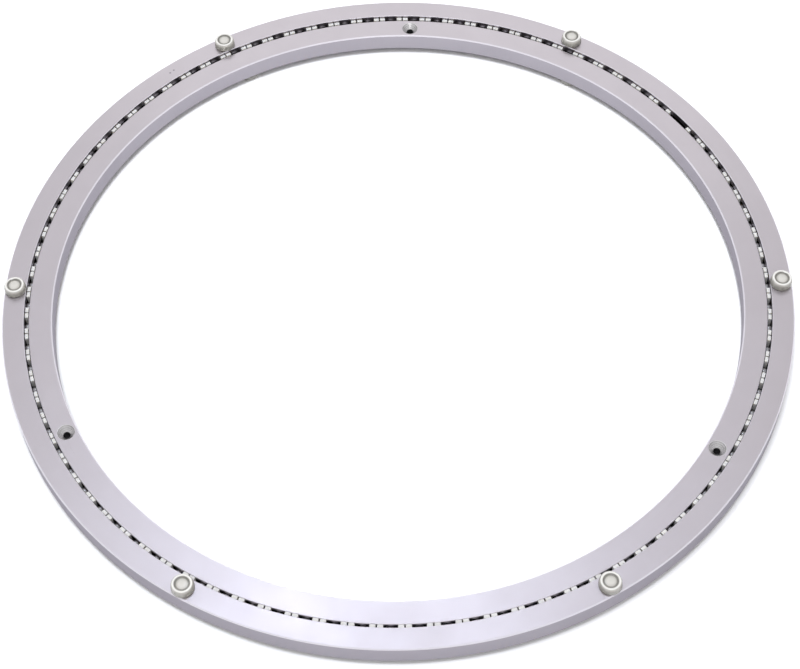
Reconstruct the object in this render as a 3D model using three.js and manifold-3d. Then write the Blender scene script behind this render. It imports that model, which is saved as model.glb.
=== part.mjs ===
// Aluminium turntable bearing: two flat rings, one inside the other, that turn on a circle of balls.
// Millimetres, +Z up. The origin is on the ring's axis, in the plane that the foot pads stand on.

import * as THREE from 'three';
import { mergeVertices } from 'three/addons/utils/BufferGeometryUtils.js';
import Module from 'manifold-3d';

// ---- Driving dimensions ----

const OUTSIDE_RADIUS = 200;
const INSIDE_RADIUS = 175;
const GAP_CENTRE_RADIUS = 187.85; // the circle that the balls run on
const GAP_WIDTH = 2.3; // between the rings, at their lips
const INNER_RING_HEIGHT = 10;
const OUTER_RING_HEIGHT = 11.6; // both rings have their undersides level
const WALL_CHAMFER = 0.6; // along the top of each ring's plain wall
const EDGE_CHAMFER = 0.25; // along the other corners
const RING_SIDES = 96;

const PAD_HEIGHT = 4; // the same pads are the feet below and the seats for a plate above
const PAD_RADIUS = 5.6;
const PAD_DISH_RADIUS = 2.8; // the shallow dish in the middle of a pad's free face
const PAD_DISH_DEPTH = 0.6;
const PAD_SIDES = 16;
const PAD_COUNT = 6;
const TOP_PAD_CIRCLE = 194.4;
const FOOT_PAD_CIRCLE = 180.8;
const ADHESIVE = 0.05; // the film that holds a pad to its ring

const BALL_RADIUS = 3;
const GROOVE_RADIUS = 3.3;
const GROOVE_FACETS = 5;

const SCREW_COUNT = 3;
const SCREW_CIRCLE = 180.8;
const SCREW_HOLE_RADIUS = 1.75;
const COUNTERSINK_RADIUS = 4.3;
const SCREW_HOLE_SIDES = 24;

const CAGE_CELLS = 91; // 90 pockets, and one cell left out where the strip's ends face each other
const CAGE_INNER_RADIUS = 187;
const CAGE_OUTER_RADIUS = 188.7;
const CAGE_RISE = 0.5; // above the inner ring's top face
const CAGE_SINK = 0.6; // short of the rings' undersides
const SLIT_WIDTH = 0.65;
const SLIT_WEB = 1.5; // what is left of the strip under a slit
const POCKET_MOUTH = 3.3; // half widths of a pocket
const POCKET_BELLY = 3.4;
const POCKET_FLOOR = 1.7;

// Angles at rest, in degrees from +X.
const FIRST_SCREW_ANGLE = 90;
const FIRST_TOP_PAD_ANGLE = 2.15;
const CAGE_END_ANGLE = 38;

// ---- Worked-out sizes ----

const degrees = Math.PI / 180;
const ringsLow = PAD_HEIGHT;
const innerRingTop = ringsLow + INNER_RING_HEIGHT;
const outerRingTop = ringsLow + OUTER_RING_HEIGHT;
const ballHeight = (ringsLow + innerRingTop) / 2;
const cageLow = ringsLow + CAGE_SINK;
const cageTop = innerRingTop + CAGE_RISE;
const cellAngle = (360 / CAGE_CELLS) * degrees;

const wasm = await Module();
wasm.setup();

// ---- Materials ----

const aluminium = new THREE.MeshStandardMaterial({ color: 0xc9c7cd, roughness: 0.42, metalness: 0.9 });
const nylon = new THREE.MeshStandardMaterial({ color: 0xe9e8e0, roughness: 0.55, metalness: 0 });
const bearingSteel = new THREE.MeshStandardMaterial({ color: 0xb9babd, roughness: 0.12, metalness: 1 });
const clearRubber = new THREE.MeshStandardMaterial({ color: 0xc4c5b8, roughness: 0.3, metalness: 0 });

// ---- Helpers ----

// A closed geometry with shared corners, which is what a boolean needs.
function weld(geometry) {
  geometry.deleteAttribute('normal');
  geometry.deleteAttribute('uv');
  return mergeVertices(geometry, 1e-4);
}

function toSolid(geometry) {
  const vertProperties = new Float32Array(geometry.attributes.position.array);
  const triVerts = new Uint32Array(geometry.index.array);
  return new wasm.Manifold(new wasm.Mesh({ numProp: 3, vertProperties, triVerts }));
}

function toGeometry(solid) {
  const mesh = solid.getMesh();
  const geometry = new THREE.BufferGeometry();
  geometry.setAttribute('position', new THREE.BufferAttribute(new Float32Array(mesh.vertProperties), 3));
  geometry.setIndex(new THREE.BufferAttribute(new Uint32Array(mesh.triVerts), 1));
  return geometry;
}

// Turns an outline of [radius, height] points about the Z axis.
function revolve(outline, sides) {
  const points = outline.map(([radius, height]) => new THREE.Vector2(radius, height));
  return weld(new THREE.LatheGeometry(points, sides).rotateX(Math.PI / 2));
}

function finishedMesh(name, geometry, material) {
  const flat = geometry.toNonIndexed();
  flat.computeVertexNormals();
  const mesh = new THREE.Mesh(flat, material);
  mesh.name = name;
  return mesh;
}

function placeOnCircle(mesh, radius, angle, height) {
  mesh.position.set(radius * Math.cos(angle), radius * Math.sin(angle), height);
  mesh.rotation.z = angle;
  return mesh;
}

// ---- Rings ----

// The cross-section of a ring. Its wall is the plain side, and its lip is the side with the ball groove.
function ringSection(wallRadius, lipRadius, top) {
  const side = Math.sign(lipRadius - wallRadius);
  const halfMouth = Math.asin(Math.sqrt(GROOVE_RADIUS ** 2 - (GAP_WIDTH / 2) ** 2) / GROOVE_RADIUS);
  const groove = [];
  for (let i = 0; i <= GROOVE_FACETS; i += 1) {
    const angle = -halfMouth + (2 * halfMouth * i) / GROOVE_FACETS;
    const radius = GAP_CENTRE_RADIUS - side * GROOVE_RADIUS * Math.cos(angle);
    groove.push([radius, ballHeight + GROOVE_RADIUS * Math.sin(angle)]);
  }
  const section = [
    [wallRadius, ringsLow + EDGE_CHAMFER],
    [wallRadius + side * EDGE_CHAMFER, ringsLow],
    [lipRadius - side * EDGE_CHAMFER, ringsLow],
    [lipRadius, ringsLow + EDGE_CHAMFER],
    ...groove,
    [lipRadius, top - EDGE_CHAMFER],
    [lipRadius - side * EDGE_CHAMFER, top],
    [wallRadius + side * WALL_CHAMFER, top],
    [wallRadius, top - WALL_CHAMFER],
  ];
  section.push(section[0]);
  return side > 0 ? section : section.reverse();
}

// A through hole with a 90 degree countersink, standing on the ring's top face.
function screwHoleCutter() {
  const coneDepth = COUNTERSINK_RADIUS - SCREW_HOLE_RADIUS;
  const clear = 1;
  const outline = [
    [0, -INNER_RING_HEIGHT - clear],
    [SCREW_HOLE_RADIUS, -INNER_RING_HEIGHT - clear],
    [SCREW_HOLE_RADIUS, -coneDepth],
    [COUNTERSINK_RADIUS + clear, clear],
    [0, clear],
  ];
  return revolve(outline, SCREW_HOLE_SIDES);
}

function innerRing() {
  const lipRadius = GAP_CENTRE_RADIUS - GAP_WIDTH / 2;
  let ring = toSolid(revolve(ringSection(INSIDE_RADIUS, lipRadius, innerRingTop), RING_SIDES));
  for (let i = 0; i < SCREW_COUNT; i += 1) {
    const angle = (FIRST_SCREW_ANGLE + (360 / SCREW_COUNT) * i) * degrees;
    const x = SCREW_CIRCLE * Math.cos(angle);
    const y = SCREW_CIRCLE * Math.sin(angle);
    ring = ring.subtract(toSolid(screwHoleCutter().translate(x, y, innerRingTop)));
  }
  return finishedMesh('inner_ring', toGeometry(ring), aluminium);
}

function outerRing() {
  const lipRadius = GAP_CENTRE_RADIUS + GAP_WIDTH / 2;
  const section = ringSection(OUTSIDE_RADIUS, lipRadius, outerRingTop);
  return finishedMesh('outer_ring', revolve(section, RING_SIDES), aluminium);
}

// ---- Pads ----

// A moulded pad standing on its glued face, with a rounded shoulder and a flat rim round a shallow dish.
function pad(name) {
  const body = PAD_HEIGHT - ADHESIVE;
  const outline = [
    [0, 0],
    [PAD_RADIUS - 0.2, 0],
    [PAD_RADIUS, 0.2 * body],
    [PAD_RADIUS - 0.5, 0.72 * body],
    [PAD_RADIUS - 1.4, body],
    [PAD_DISH_RADIUS + 0.4, body],
    [PAD_DISH_RADIUS, body - PAD_DISH_DEPTH],
    [0, body - PAD_DISH_DEPTH],
  ];
  return finishedMesh(name, revolve(outline, PAD_SIDES), clearRubber);
}

function pads(prefix, circle, firstAngle, place) {
  const group = new THREE.Group();
  for (let i = 0; i < PAD_COUNT; i += 1) {
    const angle = (firstAngle + (360 / PAD_COUNT) * i) * degrees;
    const mesh = pad(`${prefix}_${i + 1}`);
    place(mesh, circle, angle);
    group.add(mesh);
  }
  return group;
}

function topPads() {
  return pads('top_pad', TOP_PAD_CIRCLE, FIRST_TOP_PAD_ANGLE, (mesh, circle, angle) => {
    placeOnCircle(mesh, circle, angle, outerRingTop + ADHESIVE);
  });
}

function footPads() {
  return pads('foot_pad', FOOT_PAD_CIRCLE, 0, (mesh, circle, angle) => {
    placeOnCircle(mesh, circle, angle, ringsLow - ADHESIVE);
    mesh.rotation.x = Math.PI;
  });
}

// ---- Cage ----

// One cell of the strip, seen from the side: half a post, a pocket open at the top, half a post.
// The points run anticlockwise as [distance along the strip, height]. At a free end of the
// strip the web stops level with the post.
function cellOutline(startIsFree, endIsFree) {
  const half = (cellAngle * GAP_CENTRE_RADIUS) / 2;
  const post = half - SLIT_WIDTH / 2;
  const slitFloor = cageLow + SLIT_WEB;
  const belly = ballHeight - 0.4 * BALL_RADIUS;
  const floor = ballHeight - 1.1 * BALL_RADIUS;
  const start = startIsFree ? [[-post, cageLow]] : [[-post, slitFloor], [-half, slitFloor], [-half, cageLow]];
  const end = endIsFree ? [[post, cageLow]] : [[half, cageLow], [half, slitFloor], [post, slitFloor]];
  return [
    ...start,
    ...end,
    [post, cageTop],
    [POCKET_MOUTH, cageTop],
    [POCKET_BELLY, belly],
    [POCKET_FLOOR, floor],
    [-POCKET_FLOOR, floor],
    [-POCKET_BELLY, belly],
    [-POCKET_MOUTH, cageTop],
    [-post, cageTop],
  ];
}

function ballRetainer() {
  const positions = [];
  const half = (cellAngle * GAP_CENTRE_RADIUS) / 2;
  const corner = (radius, [along, height], middle) => {
    const angle = middle + along / GAP_CENTRE_RADIUS;
    return [radius * Math.cos(angle), radius * Math.sin(angle), height];
  };
  for (let cell = 1; cell < CAGE_CELLS; cell += 1) {
    const middle = CAGE_END_ANGLE * degrees + cell * cellAngle;
    const outline = cellOutline(cell === 1, cell === CAGE_CELLS - 1);
    const flat = outline.map(([along, height]) => new THREE.Vector2(along, height));
    for (const triangle of THREE.ShapeUtils.triangulateShape(flat, [])) {
      const [a, b, c] = triangle.map((i) => outline[i]);
      for (const point of [a, b, c]) positions.push(...corner(CAGE_OUTER_RADIUS, point, middle));
      for (const point of [a, c, b]) positions.push(...corner(CAGE_INNER_RADIUS, point, middle));
    }
    outline.forEach((from, i) => {
      const to = outline[(i + 1) % outline.length];
      const joinsNextCell = Math.abs(from[0]) === half && from[0] === to[0];
      if (joinsNextCell) return;
      const [innerFrom, innerTo] = [from, to].map((point) => corner(CAGE_INNER_RADIUS, point, middle));
      const [outerFrom, outerTo] = [from, to].map((point) => corner(CAGE_OUTER_RADIUS, point, middle));
      positions.push(...innerFrom, ...outerTo, ...outerFrom);
      positions.push(...innerFrom, ...innerTo, ...outerTo);
    });
  }
  const geometry = new THREE.BufferGeometry();
  geometry.setAttribute('position', new THREE.Float32BufferAttribute(positions, 3));
  return finishedMesh('ball_retainer', mergeVertices(geometry, 1e-3), nylon);
}

// ---- Balls ----

// Every second pocket's ball, named by its pocket, counting from the strip's first end.
function balls() {
  const group = new THREE.Group();
  for (let pocket = 1; pocket < CAGE_CELLS; pocket += 2) {
    const angle = CAGE_END_ANGLE * degrees + pocket * cellAngle;
    const sphere = mergeVertices(new THREE.IcosahedronGeometry(BALL_RADIUS, 1).deleteAttribute('uv'));
    const mesh = finishedMesh(`ball_${String(pocket).padStart(2, '0')}`, sphere, bearingSteel);
    group.add(placeOnCircle(mesh, GAP_CENTRE_RADIUS, angle, ballHeight));
  }
  return group;
}

const turntableBearing = new THREE.Group();
turntableBearing.add(innerRing(), footPads(), outerRing(), topPads(), ballRetainer(), balls());

export default turntableBearing;
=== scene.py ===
"""Looks of an aluminium turntable ring bearing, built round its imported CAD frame. Metres, +Z up."""

import math

import bmesh
import bpy
import numpy as np
from mathutils import Matrix, Vector


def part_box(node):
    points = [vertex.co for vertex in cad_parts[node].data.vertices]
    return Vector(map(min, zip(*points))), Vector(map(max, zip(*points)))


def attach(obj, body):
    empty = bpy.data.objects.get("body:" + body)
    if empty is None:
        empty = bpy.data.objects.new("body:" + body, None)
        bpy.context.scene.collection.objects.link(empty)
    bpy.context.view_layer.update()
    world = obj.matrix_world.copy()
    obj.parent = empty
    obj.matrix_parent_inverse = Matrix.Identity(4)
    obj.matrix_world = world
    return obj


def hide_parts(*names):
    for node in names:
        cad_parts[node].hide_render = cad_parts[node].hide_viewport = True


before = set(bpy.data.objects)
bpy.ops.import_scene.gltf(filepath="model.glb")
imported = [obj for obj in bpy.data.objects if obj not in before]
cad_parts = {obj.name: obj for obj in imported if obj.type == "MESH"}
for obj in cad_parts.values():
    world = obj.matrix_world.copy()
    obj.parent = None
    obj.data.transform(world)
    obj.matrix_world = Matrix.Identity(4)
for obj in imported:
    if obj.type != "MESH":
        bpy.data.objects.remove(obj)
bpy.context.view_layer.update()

MM = 0.001

# ---- Driving sizes that the frame doesn't state ----

WALL_CHAMFER = 0.6 * MM
EDGE_CHAMFER = 0.25 * MM
EDGE_RADIUS = 0.06 * MM
RING_SIDES = 720
GROOVE_RADIUS = 3.3 * MM
GROOVE_STEPS = 14

SCREW_COUNT = 3
SCREW_CIRCLE = 180.8 * MM
FIRST_SCREW_ANGLE = math.radians(90)
SCREW_HOLE_RADIUS = 1.75 * MM
COUNTERSINK_RADIUS = 4.3 * MM
SCREW_HOLE_SIDES = 96
BROKEN_EDGE = 0.10 * MM  # the countersink's mouth

POCKET_COUNT = 90
POCKET_RADIUS = 3.35 * MM
SLIT_WIDTH = 0.65 * MM
SLIT_WEB = 1.5 * MM
POCKET_STEPS = 16
STRIP_EDGE_RADIUS = 0.22 * MM

PAD_COUNT = 6  # above, and again below
PAD_SIDES = 96
PAD_DISH_RADIUS = 3.2 * MM
PAD_DISH_DEPTH = 0.6 * MM
PAD_RIM_RADIUS = 4.3 * MM

# Two small dark spots painted on the outer ring's top face, as (radius, angle).
DARK_SPOTS = [(194.1 * MM, math.radians(132.8)), (194.4 * MM, math.radians(132.0))]
DARK_SPOT_RADIUS = 0.5 * MM

# The photograph's view: the camera looks down at the centre of the outer ring's top face.
VIEW_AZIMUTH = math.radians(3.71)
VIEW_ELEVATION = math.radians(55.68)
VIEW_ROLL = math.radians(1.78)
VIEW_DISTANCE = 0.9051
VIEW_OFFSET = (-0.0015, 0.0248)  # how far that centre is right of and above the line of sight
VIEW_LENS = 80.19
SENSOR_WIDTH = 36.0

# The surround's strength, and the sine of the height above the horizon where it is at its brightest.
HORIZON_GLOW = 0.28
ZENITH_GLOW = 0.78
GLOW_SPREAD = 0.65
GLOW_COLOUR = (1.0, 0.995, 1.0, 1.0)

# What the camera sees beyond the table, whose edge is where the light on it has faded to the same.
BACKDROP_GLOW = 1.0
BACKDROP_COLOUR = (1.0, 1.0, 1.0, 1.0)
TABLE_RADIUS = 1.45
TABLE_SIDES = 192

WHITE = (1.0, 1.0, 1.0)
# The area lights: name, place, target, size, power in watts and colour.
OVERHEAD_LIGHT = ("overhead", (-0.15, -0.25, 2.5), (0, 0, 0), (0.8, 0.8), 50.0, (0.90, 0.93, 1.0))
SOFT_LIGHTS = [
    ("cool", (-0.12, 0.46, 1.5), (0, 0, 0), (0.3, 0.3), 1.4, (0.78, 0.86, 1.0)),
    ("front", (0.0, -1.3, 2.6), (0, 0, 0), (1.0, 1.0), 8.0, WHITE),
    ("back", (-0.05, 1.55, 1.5), (0, 0.2, 0), (1.3, 0.6), 1.2, WHITE),
]


# ---- Reading the frame ----

def node_points(node):
    """A CAD node's corners at rest, as an array."""
    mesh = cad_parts[node].data
    points = np.zeros(len(mesh.vertices) * 3)
    mesh.vertices.foreach_get("co", points)
    return points.reshape(-1, 3)


def radius_range(node):
    """A ring node's smallest and largest radius from the bearing's axis."""
    points = node_points(node)
    radii = np.hypot(points[:, 0], points[:, 1])
    return radii.min(), radii.max()


def centre_of(node):
    low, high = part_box(node)
    return (low + high) / 2


def angle_of(node):
    centre = centre_of(node)
    return math.atan2(centre.y, centre.x)


# ---- Mesh helpers ----

def new_piece(name, mesh, materials, body, replaced=()):
    """Puts a mesh in the scene as a piece that rides on a CAD body."""
    if not mesh.materials:
        for material in materials:
            mesh.materials.append(material)
    piece = bpy.data.objects.new(name, mesh)
    bpy.context.scene.collection.objects.link(piece)
    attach(piece, body)
    if replaced:
        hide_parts(*replaced)
    return piece


def smooth(mesh, angle_degrees=35):
    mesh.shade_smooth()
    mesh.set_sharp_from_angle(angle=math.radians(angle_degrees))


def weigh_normals(piece):
    """Keeps flat faces flat where they meet a small rounded edge."""
    modifier = piece.modifiers.new("weighted normals", "WEIGHTED_NORMAL")
    modifier.keep_sharp = True


def fillet(outline, steps=3):
    """Rounds an outline's corners.

    The outline is a list of (x, y, corner radius, zone), where the zone is the name of the stretch
    that starts at the corner. It comes back as (x, y, zone) points."""
    rounded = []
    count = len(outline)
    for i, (x, y, radius, zone) in enumerate(outline):
        corner = Vector((x, y))
        before = Vector(outline[i - 1][:2]) - corner
        after = Vector(outline[(i + 1) % count][:2]) - corner
        if radius <= 0 or before.length == 0 or after.length == 0:
            rounded.append((x, y, zone))
            continue
        turn = before.angle(after)
        reach = min(radius / math.tan(turn / 2), 0.45 * before.length, 0.45 * after.length)
        start = corner + before.normalized() * reach
        end = corner + after.normalized() * reach
        for step in range(steps + 1):
            t = step / steps
            point = start.lerp(corner, t).lerp(corner.lerp(end, t), t)
            rounded.append((point.x, point.y, zone))
    return rounded


def revolve(name, profile, sides, zones, closed=True):
    """A mesh of a (radius, height, zone) profile turned about Z.

    Each zone's place in zones is its material's place."""
    radii = np.array([p[0] for p in profile])
    heights = np.array([p[1] for p in profile])
    turns = np.linspace(0, 2 * math.pi, sides, endpoint=False)
    points = np.stack(
        [
            np.outer(np.cos(turns), radii),
            np.outer(np.sin(turns), radii),
            np.tile(heights, (sides, 1)),
        ],
        axis=2,
    ).reshape(-1, 3)
    count = len(profile)
    spans = count if closed else count - 1
    faces = []
    indices = []
    for side in range(sides):
        here = side * count
        there = ((side + 1) % sides) * count
        for i in range(spans):
            j = (i + 1) % count
            faces.append((here + i, there + i, there + j, here + j))
            indices.append(zones.index(profile[i][2]))
    mesh = bpy.data.meshes.new(name)
    mesh.from_pydata(points.tolist(), [], faces)
    mesh.polygons.foreach_set("material_index", indices)
    tidy_mesh(mesh)
    return mesh


def tidy_mesh(mesh, merge=1e-7):
    """Merges doubled corners, drops faces with no area and turns every face outwards."""
    work = bmesh.new()
    work.from_mesh(mesh)
    bmesh.ops.remove_doubles(work, verts=work.verts, dist=merge)
    bmesh.ops.dissolve_degenerate(work, edges=work.edges, dist=merge)
    bmesh.ops.recalc_face_normals(work, faces=work.faces)
    work.to_mesh(mesh)
    work.free()
    mesh.update()


def finished_copy(piece):
    """The piece's mesh with its modifiers applied."""
    graph = bpy.context.evaluated_depsgraph_get()
    return bpy.data.meshes.new_from_object(piece.evaluated_get(graph), depsgraph=graph)


# ---- Material helpers ----

class Nodes:
    """A short way to write a material's node tree."""

    def __init__(self, name):
        self.material = bpy.data.materials.new(name)
        self.material.use_nodes = True
        self.tree = self.material.node_tree
        self.tree.nodes.clear()
        self.shader = self.add("ShaderNodeBsdfPrincipled")
        output = self.add("ShaderNodeOutputMaterial")
        self.join(self.shader.outputs["BSDF"], output.inputs["Surface"])

    def add(self, kind, **settings):
        node = self.tree.nodes.new(kind)
        for key, value in settings.items():
            setattr(node, key, value)
        return node

    def join(self, source, target):
        self.tree.links.new(source, target)

    def fill(self, node, **values):
        """Sets sockets by name, with _ for a space. A value that is a socket is linked."""
        for key, value in values.items():
            socket = node.inputs[key.replace("_", " ")]
            if isinstance(value, bpy.types.NodeSocket):
                self.join(value, socket)
            else:
                socket.default_value = value
        return node

    def place(self):
        return self.add("ShaderNodeTexCoord").outputs["Object"]

    def math(self, operation, first, second=0.0, clamp=False):
        node = self.add("ShaderNodeMath", operation=operation, use_clamp=clamp)
        for socket, value in zip(node.inputs, (first, second)):
            if isinstance(value, bpy.types.NodeSocket):
                self.join(value, socket)
            else:
                socket.default_value = value
        return node.outputs[0]

    def length(self, x, y):
        squares = self.math("ADD", self.math("MULTIPLY", x, x), self.math("MULTIPLY", y, y))
        return self.math("SQRT", squares)

    def noise(self, scale, detail=2.0, roughness=0.5):
        node = self.add("ShaderNodeTexNoise")
        self.fill(node, Scale=scale, Detail=detail, Roughness=roughness, Vector=self.place())
        return node.outputs["Fac"]

    def remap(self, value, low, high, to_low, to_high):
        node = self.add("ShaderNodeMapRange")
        self.fill(node, Value=value, From_Min=low, From_Max=high, To_Min=to_low, To_Max=to_high)
        return node.outputs["Result"]

    def blend(self, factor, first, second):
        """A colour between two colours."""
        node = self.add("ShaderNodeMix", data_type="RGBA")
        self.join(factor, node.inputs["Factor"])
        for socket, value in ((node.inputs[6], first), (node.inputs[7], second)):
            if isinstance(value, bpy.types.NodeSocket):
                self.join(value, socket)
            else:
                socket.default_value = (*value, 1.0)
        return node.outputs[2]

    def bump(self, height, strength, distance):
        node = self.add("ShaderNodeBump")
        self.fill(node, Height=height, Strength=strength, Distance=distance)
        return node.outputs["Normal"]

    def around(self):
        """Separate sockets for the place round the axis: cosine, sine, radius and height."""
        split = self.add("ShaderNodeSeparateXYZ")
        self.join(self.place(), split.inputs[0])
        x, y, z = split.outputs
        radius = self.length(x, y)
        return self.math("DIVIDE", x, radius), self.math("DIVIDE", y, radius), radius, z

    def streaks(self, fineness, length=6.0, detail=3.0):
        """Fine lines that run round the axis, as a die or a lathe tool leaves them."""
        cosine, sine, radius, height = self.around()
        vector = self.add("ShaderNodeCombineXYZ")
        self.join(self.math("MULTIPLY", cosine, length), vector.inputs[0])
        self.join(self.math("MULTIPLY", sine, length), vector.inputs[1])
        self.join(self.math("MULTIPLY", radius, fineness), vector.inputs[2])
        node = self.add("ShaderNodeTexNoise", noise_dimensions="4D")
        self.fill(node, Vector=vector.outputs[0], W=self.math("MULTIPLY", height, fineness))
        self.fill(node, Scale=1.0, Detail=detail, Roughness=0.6)
        return node.outputs["Fac"]

    def wall_marks(self, fineness=900.0, across=60.0):
        """Faint lines across a wall: they change round the axis but hardly with the height."""
        cosine, sine, _, height = self.around()
        vector = self.add("ShaderNodeCombineXYZ")
        self.join(self.math("MULTIPLY", cosine, fineness), vector.inputs[0])
        self.join(self.math("MULTIPLY", sine, fineness), vector.inputs[1])
        self.join(self.math("MULTIPLY", height, across), vector.inputs[2])
        node = self.add("ShaderNodeTexNoise")
        self.fill(node, Vector=vector.outputs[0], Scale=1.0, Detail=3.0, Roughness=0.6)
        return node.outputs["Fac"]

    def spots(self, places, radius):
        """One at each place, given as (x, y), and zero beyond its soft edge."""
        split = self.add("ShaderNodeSeparateXYZ")
        self.join(self.place(), split.inputs[0])
        total = None
        for x, y in places:
            off_x = self.math("SUBTRACT", split.outputs[0], x)
            off_y = self.math("SUBTRACT", split.outputs[1], y)
            spot = self.remap(self.length(off_x, off_y), 0.6 * radius, 1.4 * radius, 1.0, 0.0)
            total = spot if total is None else self.math("MAXIMUM", total, spot)
        return total


# ---- Materials ----

def face_aluminium():
    """Satin clear anodising: a fine matt grain over faint lines round the ring, and two small dark
    spots.
    """
    n = Nodes("face_aluminium")
    lines = n.streaks(fineness=9000, length=5.0)
    grain = n.noise(scale=4200, detail=2.0)
    haze = n.noise(scale=38, detail=3.0, roughness=0.6)
    handled = n.noise(scale=9, detail=4.0, roughness=0.7)
    base = n.blend(n.remap(haze, 0.3, 0.7, 0.0, 1.0), (0.590, 0.552, 0.590), (0.616, 0.577, 0.616))
    lined = n.blend(n.remap(lines, 0.35, 0.65, 0.0, 0.12), base, (0.64, 0.60, 0.645))
    places = [(radius * math.cos(turn), radius * math.sin(turn)) for radius, turn in DARK_SPOTS]
    # Two small spots darkened in the colour.
    dark_spots = n.spots(places, DARK_SPOT_RADIUS)
    spotted = n.blend(dark_spots, lined, (0.30, 0.28, 0.31))
    rough = n.math(
        "ADD",
        n.remap(lines, 0.3, 0.7, 0.29, 0.35),
        n.remap(handled, 0.35, 0.7, -0.02, 0.05),
    )
    height = n.math("ADD", n.math("MULTIPLY", grain, 0.55), n.math("MULTIPLY", lines, 0.45))
    tangent = n.add("ShaderNodeTangent", direction_type="RADIAL", axis="Z")
    n.fill(
        n.shader,
        Base_Color=spotted,
        Metallic=1.0,
        Roughness=rough,
        Anisotropic=0.35,
        Tangent=tangent.outputs[0],
        Normal=n.bump(height, 0.35, 0.00004),
    )
    return n.material


def wall_aluminium():
    """The plain walls, as the strip was drawn: a little duller, with faint marks across them. Their
    colour and edge tint are set darker than the top face's as painted shade.
    """
    n = Nodes("wall_aluminium")
    lines = n.streaks(fineness=5000, length=4.0)
    marks = n.wall_marks()
    haze = n.noise(scale=30, detail=3.0, roughness=0.6)
    # Painted shade: the walls' colour is set darker than the top face's.
    base = n.blend(n.remap(haze, 0.3, 0.7, 0.0, 1.0), (0.356, 0.332, 0.363), (0.381, 0.357, 0.389))
    marked = n.blend(n.remap(marks, 0.35, 0.7, 0.0, 0.35), base, (0.444, 0.420, 0.453))
    height = n.math("ADD", n.math("MULTIPLY", lines, 0.6), n.math("MULTIPLY", marks, 0.4))
    n.fill(
        n.shader,
        Base_Color=marked,
        Metallic=1.0,
        Roughness=n.remap(marks, 0.3, 0.7, 0.42, 0.52),
        # A darkened edge tint, also painted shade.
        Specular_Tint=(0.48, 0.48, 0.50, 1.0),
        Normal=n.bump(height, 0.3, 0.00004),
    )
    return n.material


def cut_aluminium():
    """The rings' chamfers, turned smooth before the anodising."""
    n = Nodes("cut_aluminium")
    lines = n.streaks(fineness=16000, length=3.0)
    tone = n.blend(n.remap(lines, 0.3, 0.7, 0.0, 1.0), (0.64, 0.61, 0.65), (0.72, 0.69, 0.73))
    n.fill(
        n.shader,
        Base_Color=tone,
        Metallic=0.35,
        Roughness=n.remap(lines, 0.3, 0.7, 0.28, 0.38),
        Normal=n.bump(lines, 0.3, 0.00003),
    )
    return n.material


def drilled_aluminium():
    """The screw holes: a countersink with the marks of its cutter, over a dark bore."""
    n = Nodes("drilled_aluminium")
    split = n.add("ShaderNodeSeparateXYZ")
    n.join(n.place(), split.inputs[0])
    height = split.outputs[2]
    grain = n.noise(scale=2400, detail=3.0, roughness=0.6)
    rings = n.add("ShaderNodeTexNoise", noise_dimensions="1D")
    n.fill(rings, W=n.math("MULTIPLY", height, 5200.0), Scale=1.0, Detail=3.0, Roughness=0.6)
    cut = rings.outputs["Fac"]
    tone = n.blend(n.remap(cut, 0.3, 0.7, 0.0, 1.0), (0.56, 0.55, 0.56), (0.84, 0.83, 0.84))
    shade = n.blend(n.remap(grain, 0.3, 0.7, 0.0, 0.25), tone, (0.45, 0.44, 0.45))
    n.fill(
        n.shader,
        Base_Color=shade,
        Metallic=1.0,
        Roughness=n.remap(cut, 0.3, 0.7, 0.22, 0.34),
        Normal=n.bump(cut, 0.5, 0.00006),
    )
    return n.material


def bore_painted_shade():
    """The narrow part of a screw hole, painted nearly black and speckled as painted shade for the deep
    hole.
    """
    n = Nodes("bore_painted_shade")
    speckle = n.noise(scale=1500, detail=3.0, roughness=0.6)
    # Painted shade: a nearly black colour stands in for the dark down the hole.
    tone = n.blend(n.remap(speckle, 0.35, 0.65, 0.0, 1.0), (0.020, 0.020, 0.022), (0.060, 0.058, 0.060))
    n.fill(
        n.shader,
        Base_Color=tone,
        Metallic=0.4,
        Roughness=n.remap(speckle, 0.3, 0.7, 0.45, 0.65),
        Normal=n.bump(speckle, 0.3, 0.00006),
    )
    return n.material


def race_painted_shade():
    """The ball grooves, rolled bright; their colour is set nearly black, in uneven patches, as painted
    shade for the narrow gap round the balls.
    """
    n = Nodes("race_painted_shade")
    patches = n.noise(scale=420, detail=3.0, roughness=0.6)
    # Painted shade: the groove's colour is set nearly black.
    tone = n.blend(n.remap(patches, 0.35, 0.65, 0.0, 1.0), (0.032, 0.030, 0.029), (0.085, 0.081, 0.078))
    n.fill(
        n.shader,
        Base_Color=tone,
        Metallic=0.6,
        Roughness=n.remap(patches, 0.3, 0.7, 0.22, 0.42),
        Normal=n.bump(patches, 0.3, 0.0001),
    )
    return n.material


def natural_nylon():
    """Moulded white nylon, a little translucent, its colour set grey as painted shade for the narrow gap
    it runs in.
    """
    n = Nodes("natural_nylon")
    flow = n.noise(scale=300, detail=3.0)
    fine = n.noise(scale=5200, detail=2.0)
    # Painted shade: a grey tone where the nylon is white.
    tone = n.blend(n.remap(flow, 0.3, 0.7, 0.0, 1.0), (0.51, 0.50, 0.48), (0.58, 0.57, 0.55))
    n.fill(
        n.shader,
        Base_Color=tone,
        Roughness=n.remap(flow, 0.3, 0.7, 0.42, 0.55),
        Subsurface_Weight=0.6,
        Subsurface_Radius=(0.0028, 0.0026, 0.0022),
        Subsurface_Scale=1.0,
        Specular_IOR_Level=0.35,
        Normal=n.bump(fine, 0.15, 0.00003),
    )
    return n.material


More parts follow.
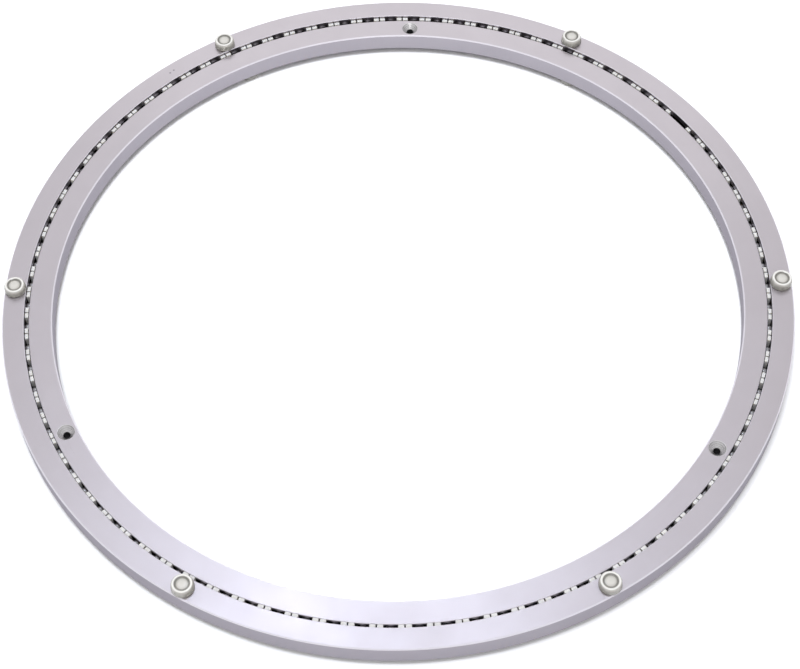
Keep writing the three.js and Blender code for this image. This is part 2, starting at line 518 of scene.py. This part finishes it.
def polished_steel():
    """Polished bearing steel, uneven in tone, its colour set dark as painted shade for the pockets it
    sits in.
    """
    n = Nodes("polished_steel")
    patches = n.noise(scale=260, detail=3.0, roughness=0.6)
    # Painted shade: the steel's colour is set far darker than polished steel.
    tone = n.blend(n.remap(patches, 0.35, 0.65, 0.0, 1.0), (0.28, 0.28, 0.29), (0.38, 0.38, 0.39))
    n.fill(
        n.shader,
        Base_Color=tone,
        Metallic=1.0,
        Roughness=n.remap(patches, 0.3, 0.7, 0.20, 0.32),
        Normal=n.bump(patches, 0.06, 0.00005),
    )
    return n.material


def clear_vinyl():
    """Clear moulded soft plastic, cloudy and a little yellow.

    Its rim and the middle of its dish are painted pale as painted highlights, and the corner of the dish
    and its side are painted dark as painted shade."""
    n = Nodes("clear_vinyl")
    split = n.add("ShaderNodeSeparateXYZ")
    n.join(n.place(), split.inputs[0])
    x, y, _ = split.outputs
    radius = n.length(x, y)
    cloud = n.noise(scale=520, detail=3.0, roughness=0.55)
    speckle = n.noise(scale=3800, detail=2.0, roughness=0.7)
    cloudy = n.blend(n.remap(cloud, 0.3, 0.7, 0.0, 1.0), (0.66, 0.635, 0.575), (0.76, 0.73, 0.675))
    # Painted highlight: the rim and the middle of the dish are painted pale and let less light through.
    off_rim = n.math("ABSOLUTE", n.math("SUBTRACT", radius, PAD_RIM_RADIUS))
    rim = n.remap(off_rim, 0.25 * MM, 0.65 * MM, 0.75, 0.0)
    middle = n.remap(radius, 1.6 * MM, 2.6 * MM, 0.30, 0.0)
    painted_highlight = n.math("MAXIMUM", rim, middle)
    highlighted = n.blend(painted_highlight, cloudy, (0.89, 0.875, 0.835))
    # Painted shade: the corner of the dish and the pad's side are painted dark.
    off_groove = n.math("ABSOLUTE", n.math("SUBTRACT", radius, PAD_DISH_RADIUS))
    groove = n.remap(off_groove, 0.3 * MM, 0.7 * MM, 0.9, 0.0)
    side = n.remap(radius, 5.05 * MM, 5.5 * MM, 0.0, 0.65)
    painted_shade = n.math("MAXIMUM", groove, side)
    tone = n.blend(painted_shade, highlighted, (0.27, 0.265, 0.235))
    n.fill(
        n.shader,
        Base_Color=tone,
        Roughness=n.remap(speckle, 0.3, 0.75, 0.10, 0.22),
        Transmission_Weight=n.remap(painted_highlight, 0.0, 0.75, 0.55, 0.30),
        IOR=1.46,
        Normal=n.bump(speckle, 0.10, 0.00003),
    )
    return n.material


def pale_table():
    n = Nodes("pale_table")
    cloth = n.noise(scale=700, detail=2.0)
    tone = n.blend(n.remap(cloth, 0.3, 0.7, 0.0, 1.0), (0.945, 0.945, 0.945), (0.96, 0.96, 0.96))
    n.fill(n.shader, Base_Color=tone, Roughness=0.75, Specular_IOR_Level=0.2)
    return n.material


# ---- Rings ----

RING_ZONES = ["face", "wall", "cut", "race", "drilled", "bore"]


def ring_profile(wall_radius, lip_radius, low, high, race_radius, race_height):
    """A ring's cross-section: flat faces, chamfered corners and the ball groove in its lip."""
    side = math.copysign(1, lip_radius - wall_radius)
    half_gap = abs(race_radius - lip_radius)
    half_mouth = math.acos(half_gap / GROOVE_RADIUS)
    outline = [
        (wall_radius, low + EDGE_CHAMFER, EDGE_RADIUS, "wall"),
        (wall_radius + side * EDGE_CHAMFER, low, EDGE_RADIUS, "wall"),
        (lip_radius - side * EDGE_CHAMFER, low, EDGE_RADIUS, "wall"),
        (lip_radius, low + EDGE_CHAMFER, EDGE_RADIUS, "wall"),
    ]
    for step in range(GROOVE_STEPS + 1):
        angle = half_mouth * (2 * step / GROOVE_STEPS - 1)
        radius = race_radius - side * GROOVE_RADIUS * math.cos(angle)
        zone = "face" if step == GROOVE_STEPS else "race"
        outline.append((radius, race_height + GROOVE_RADIUS * math.sin(angle), 0.0, zone))
    outline += [
        (lip_radius, high - EDGE_CHAMFER, EDGE_RADIUS, "cut"),
        (lip_radius - side * EDGE_CHAMFER, high, EDGE_RADIUS, "face"),
        (wall_radius + side * WALL_CHAMFER, high, EDGE_RADIUS, "cut"),
        (wall_radius, high - WALL_CHAMFER, EDGE_RADIUS, "wall"),
    ]
    return fillet(outline)


def screw_hole_cutter(top):
    """A solid of a through hole and its countersink, with the mouth's edge just broken."""
    cone = COUNTERSINK_RADIUS - SCREW_HOLE_RADIUS
    clear = 1 * MM
    deep = 12 * MM
    profile = [
        (0, -deep),
        (SCREW_HOLE_RADIUS, -deep),
        (SCREW_HOLE_RADIUS, -cone),
        (COUNTERSINK_RADIUS - BROKEN_EDGE, -BROKEN_EDGE),
        (COUNTERSINK_RADIUS + BROKEN_EDGE, 0),
        (COUNTERSINK_RADIUS + BROKEN_EDGE, clear),
        (0, clear),
    ]
    outline = [(radius, height, "cut") for radius, height in profile]
    mesh = revolve("cutter", outline, SCREW_HOLE_SIDES, ["cut"], closed=False)
    mesh.transform(Matrix.Translation((0, 0, top)))
    return bpy.data.objects.new("cutter", mesh)


def cut_screw_holes(ring, top):
    """Cuts the countersunk holes, and marks their cones and bores as drilled metal."""
    collection = bpy.context.scene.collection
    centres = []
    cutters = []
    for i in range(SCREW_COUNT):
        angle = FIRST_SCREW_ANGLE + 2 * math.pi * i / SCREW_COUNT
        centre = Vector((SCREW_CIRCLE * math.cos(angle), SCREW_CIRCLE * math.sin(angle), 0))
        cutter = screw_hole_cutter(top)
        cutter.location = centre
        collection.objects.link(cutter)
        modifier = ring.modifiers.new("screw hole", "BOOLEAN")
        modifier.object = cutter
        modifier.operation = "DIFFERENCE"
        modifier.solver = "EXACT"
        centres.append(centre)
        cutters.append(cutter)
    ring.data = finished_copy(ring)
    ring.modifiers.clear()
    for cutter in cutters:
        bpy.data.objects.remove(cutter)
    reach = COUNTERSINK_RADIUS + 0.3 * MM
    for face in ring.data.polygons:
        near = any((face.center.xy - centre.xy).length < reach for centre in centres)
        if near and abs(face.normal.z) < 0.1:
            face.material_index = RING_ZONES.index("bore")
        elif near and abs(face.normal.z) < 0.99:
            face.material_index = RING_ZONES.index("drilled")


def build_rings(materials):
    race = centre_of("ball_01")
    race_radius = math.hypot(race.x, race.y)
    low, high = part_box("inner_ring")
    wall, lip = radius_range("inner_ring")
    profile = ring_profile(wall, lip, low.z, high.z, race_radius, race.z)
    mesh = revolve("inner_ring_body", profile, RING_SIDES, RING_ZONES)
    inner = new_piece("inner_ring_body", mesh, materials, "base", ["inner_ring"])
    cut_screw_holes(inner, high.z)

    low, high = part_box("outer_ring")
    lip, wall = radius_range("outer_ring")
    profile = ring_profile(wall, lip, low.z, high.z, race_radius, race.z)
    mesh = revolve("outer_ring_body", profile, RING_SIDES, RING_ZONES)
    outer = new_piece("outer_ring_body", mesh, materials, "turntable", ["outer_ring"])
    for ring in (inner, outer):
        smooth(ring.data)
        weigh_normals(ring)


# ---- Pads ----

def pad_profile(radius, height):
    """Half of a moulded pad's outline: a flared side, a round rim, and a dish with a slight dome."""
    floor = height - PAD_DISH_DEPTH
    outline = [
        (0, 0, 0, "pad"),
        (radius - 0.2 * MM, 0, 0.12 * MM, "pad"),
        (radius, 0.3 * MM, 0.25 * MM, "pad"),
        (radius - 0.3 * MM, 0.70 * height, 1.2 * MM, "pad"),
        (radius - 0.65 * MM, 0.93 * height, 0.6 * MM, "pad"),
        (PAD_RIM_RADIUS + 0.35 * MM, height, 0.8 * MM, "pad"),
        (PAD_RIM_RADIUS - 0.35 * MM, height, 0.6 * MM, "pad"),
        (PAD_DISH_RADIUS + 0.3 * MM, height - 0.2 * MM, 0.3 * MM, "pad"),
        (PAD_DISH_RADIUS, floor, 0.25 * MM, "pad"),
        (PAD_DISH_RADIUS * 0.6, floor + 0.16 * MM, 1.0 * MM, "pad"),
        (0, floor + 0.22 * MM, 0, "pad"),
    ]
    return fillet(outline, steps=8)


def build_pads(material, prefix, node_prefix, body, upside_down):
    low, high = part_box(f"{node_prefix}_1")
    points = node_points(f"{node_prefix}_1")
    centre = centre_of(f"{node_prefix}_1")
    radius = np.hypot(points[:, 0] - centre.x, points[:, 1] - centre.y).max()
    mesh = revolve(prefix, pad_profile(radius, high.z - low.z), PAD_SIDES, ["pad"], closed=False)
    if upside_down:
        mesh.transform(Matrix.Rotation(math.pi, 4, "X"))
    smooth(mesh, 60)
    base_height = high.z if upside_down else low.z
    for i in range(1, PAD_COUNT + 1):
        node = f"{node_prefix}_{i}"
        centre = centre_of(node)
        pad = new_piece(f"{prefix}_{i}", mesh, [material], body, [node])
        pad.matrix_world = Matrix.Translation((centre.x, centre.y, base_height))


# ---- Cage and balls ----

def half_cell(half_pitch, low, high, race_height):
    """A post's outline from slit to pocket, as (distance from the pocket's middle, height)."""
    post = half_pitch - SLIT_WIDTH / 2
    points = [(post, low + SLIT_WEB), (post, high), (POCKET_RADIUS, high)]
    for step in range(POCKET_STEPS + 1):
        angle = -math.pi / 2 * step / POCKET_STEPS
        points.append((POCKET_RADIUS * math.cos(angle), race_height + POCKET_RADIUS * math.sin(angle)))
    return points


def build_retainer(material):
    """One long strip bent round the race: posts, pockets and slits over a thin web, open at its ends."""
    low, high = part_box("ball_retainer")
    inner_radius, outer_radius = radius_range("ball_retainer")
    race = centre_of("ball_01")
    race_radius = math.hypot(race.x, race.y)
    pitch = (angle_of("ball_03") - angle_of("ball_01")) / 2
    half = pitch * race_radius / 2
    side = half_cell(half, low.z, high.z, race.z)
    post_bottom = [(0.0, low.z), (half - SLIT_WIDTH / 2, low.z)]
    bridge = [(half - SLIT_WIDTH / 2, low.z), (half, low.z), (half, low.z + SLIT_WEB), side[0]]
    work = bmesh.new()

    def add_slab(outline, middle, mirrored):
        """A plate of the strip: its outline on the inner and on the outer face, joined by walls."""
        sign = -1 if mirrored else 1
        rows = []
        for radius in (inner_radius, outer_radius):
            row = []
            for along, height in outline:
                angle = middle + sign * along / race_radius
                row.append(work.verts.new((radius * math.cos(angle), radius * math.sin(angle), height)))
            rows.append(row)
        work.faces.new(rows[0])
        work.faces.new(rows[1])
        count = len(outline)
        for i in range(count):
            j = (i + 1) % count
            seam = (outline[i], outline[j]) in seams or (outline[j], outline[i]) in seams
            if not seam:
                work.faces.new((rows[0][i], rows[0][j], rows[1][j], rows[1][i]))

    post_outline = post_bottom + side
    seams = {
        (post_outline[-1], post_outline[0]),
        (bridge[0], bridge[3]),
        (bridge[1], bridge[2]),
        (post_bottom[1], side[0]),
    }
    first = angle_of("ball_01")
    for pocket in range(POCKET_COUNT):
        middle = first + pocket * pitch
        for mirrored in (False, True):
            free_end = (pocket == 0 and mirrored) or (pocket == POCKET_COUNT - 1 and not mirrored)
            if free_end:
                seams.discard((post_bottom[1], side[0]))
                add_slab(post_outline, middle, mirrored)
                seams.add((post_bottom[1], side[0]))
            else:
                add_slab(post_outline, middle, mirrored)
                add_slab(bridge, middle, mirrored)
    mesh = bpy.data.meshes.new("ball_retainer_strip")
    work.to_mesh(mesh)
    work.free()
    tidy_mesh(mesh, merge=2e-6)
    strip = new_piece("ball_retainer_strip", mesh, [material], "cage", ["ball_retainer"])
    bevel = strip.modifiers.new("moulded edges", "BEVEL")
    bevel.width = STRIP_EDGE_RADIUS
    bevel.segments = 3
    bevel.limit_method = "ANGLE"
    bevel.angle_limit = math.radians(50)
    bevel.use_clamp_overlap = True
    strip.data = finished_copy(strip)
    strip.modifiers.clear()
    smooth(strip.data, 40)
    weigh_normals(strip)


def build_balls(material):
    """All the balls. Every second one stands for a CAD ball, and the rest fill the pockets between."""
    race = centre_of("ball_01")
    race_radius = math.hypot(race.x, race.y)
    low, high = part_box("ball_01")
    first = angle_of("ball_01")
    pitch = (angle_of("ball_03") - first) / 2
    work = bmesh.new()
    bmesh.ops.create_icosphere(work, subdivisions=4, radius=(high.z - low.z) / 2)
    mesh = bpy.data.meshes.new("bearing_ball")
    work.to_mesh(mesh)
    work.free()
    mesh.shade_smooth()
    for pocket in range(1, POCKET_COUNT + 1):
        angle = first + (pocket - 1) * pitch
        node = f"ball_{pocket:02d}"
        replaced = [node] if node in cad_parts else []
        ball = new_piece(f"bearing_ball_{pocket:02d}", mesh, [material], "cage", replaced)
        place = Vector((race_radius * math.cos(angle), race_radius * math.sin(angle), race.z))
        ball.matrix_world = Matrix.Translation(place) @ Matrix.Rotation(angle * pocket, 4, "X")


# ---- Stage ----

def build_camera():
    """The photograph's viewpoint."""
    look = Vector((0, math.cos(VIEW_ELEVATION), -math.sin(VIEW_ELEVATION)))
    right = Vector((1, 0, 0))
    up = right.cross(look)
    rolled_right = right * math.cos(VIEW_ROLL) - up * math.sin(VIEW_ROLL)
    rolled_up = right * math.sin(VIEW_ROLL) + up * math.cos(VIEW_ROLL)
    target = Vector((0, 0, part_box("outer_ring")[1].z))
    place = -rolled_right * VIEW_OFFSET[0] - rolled_up * VIEW_OFFSET[1] - look * VIEW_DISTANCE
    axes = Matrix((rolled_right, rolled_up, -look)).transposed()
    turn = Matrix.Rotation(VIEW_AZIMUTH, 4, "Z")
    data = bpy.data.cameras.new("camera")
    data.lens = VIEW_LENS
    data.sensor_width = SENSOR_WIDTH
    camera = bpy.data.objects.new("camera", data)
    stand = Matrix.Translation(target) @ turn @ Matrix.Translation(place)
    camera.matrix_world = stand @ axes.to_4x4()
    bpy.context.scene.collection.objects.link(camera)
    bpy.context.scene.camera = camera


def area_light(name, place, target, size, power, colour):
    data = bpy.data.lights.new(name, "AREA")
    data.shape = "RECTANGLE"
    data.size, data.size_y = size
    data.energy = power
    data.color = colour
    light = bpy.data.objects.new(name, data)
    place = Vector(place)
    light.matrix_world = Matrix.Translation(place) @ (
        (place - Vector(target)).to_track_quat("Z", "Y").to_matrix().to_4x4()
    )
    bpy.context.scene.collection.objects.link(light)
    return light


def build_table():
    work = bmesh.new()
    bmesh.ops.create_circle(work, cap_ends=True, segments=TABLE_SIDES, radius=TABLE_RADIUS)
    mesh = bpy.data.meshes.new("table")
    work.to_mesh(mesh)
    work.free()
    mesh.materials.append(pale_table())
    table = bpy.data.objects.new("table", mesh)
    bpy.context.scene.collection.objects.link(table)


def build_surround():
    """A pale sky, brighter overhead than at the horizon. The camera sees a plain backdrop instead."""
    world = bpy.data.worlds.new("surround")
    world.use_nodes = True
    tree = world.node_tree
    direction = tree.nodes.new("ShaderNodeTexCoord")
    split = tree.nodes.new("ShaderNodeSeparateXYZ")
    strength = tree.nodes.new("ShaderNodeMapRange")
    tree.links.new(direction.outputs["Generated"], split.inputs[0])
    tree.links.new(split.outputs[2], strength.inputs["Value"])
    for key, value in (
        ("From Min", 0.0),
        ("From Max", GLOW_SPREAD),
        ("To Min", HORIZON_GLOW),
        ("To Max", ZENITH_GLOW),
    ):
        strength.inputs[key].default_value = value
    sky = tree.nodes["Background"]
    sky.inputs["Color"].default_value = GLOW_COLOUR
    tree.links.new(strength.outputs["Result"], sky.inputs["Strength"])
    backdrop = tree.nodes.new("ShaderNodeBackground")
    backdrop.inputs["Color"].default_value = BACKDROP_COLOUR
    backdrop.inputs["Strength"].default_value = BACKDROP_GLOW
    ray = tree.nodes.new("ShaderNodeLightPath")
    choice = tree.nodes.new("ShaderNodeMixShader")
    tree.links.new(ray.outputs["Is Camera Ray"], choice.inputs["Fac"])
    tree.links.new(sky.outputs[0], choice.inputs[1])
    tree.links.new(backdrop.outputs[0], choice.inputs[2])
    tree.links.new(choice.outputs[0], tree.nodes["World Output"].inputs["Surface"])
    bpy.context.scene.world = world


def build_stage():
    """A round pale table, soft lights above, before and behind, and a pale surround."""
    build_table()
    overhead = area_light(*OVERHEAD_LIGHT)
    overhead.visible_glossy = False  # it lights the table, and the bright metal doesn't mirror it
    for light in SOFT_LIGHTS:
        area_light(*light)
    build_surround()
    bpy.context.scene.view_settings.view_transform = "Standard"


build_camera()
build_stage()
ring_materials = [
    face_aluminium(),
    wall_aluminium(),
    cut_aluminium(),
    race_painted_shade(),
    drilled_aluminium(),
    bore_painted_shade(),
]
build_rings(ring_materials)
vinyl = clear_vinyl()
build_pads(vinyl, "plate_pad", "top_pad", "turntable", upside_down=False)
build_pads(vinyl, "foot", "foot_pad", "base", upside_down=True)
build_retainer(natural_nylon())
build_balls(polished_steel())
